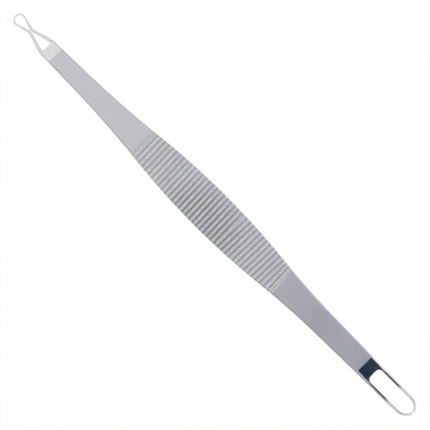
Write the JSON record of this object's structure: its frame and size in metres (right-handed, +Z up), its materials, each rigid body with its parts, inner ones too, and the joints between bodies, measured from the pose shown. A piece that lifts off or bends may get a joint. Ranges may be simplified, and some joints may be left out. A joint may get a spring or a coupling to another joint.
{
  "type": "blackhead extractor",
  "caption": "Slim flat satin-steel skin tool with a ribbed leaf-shaped grip, a small polished keyhole loop at one end and a larger bent oblong loop at the other.",
  "frame": {"origin": "on the plane of the flat underside, below the middle of the overall length and width", "axes": "+X along the tool towards the large loop, +Z up out of the face that the large loop is bent towards"},
  "size_m": [0.1316, 0.01, 0.0043],
  "materials": {
    "satin_steel": "satin",
    "polished_steel": "mirror polished"
  },
  "bodies": {
    "root": {"handle": "satin_steel", "small_loop": "polished_steel", "large_loop": "polished_steel"}
  },
  "joints": []
}
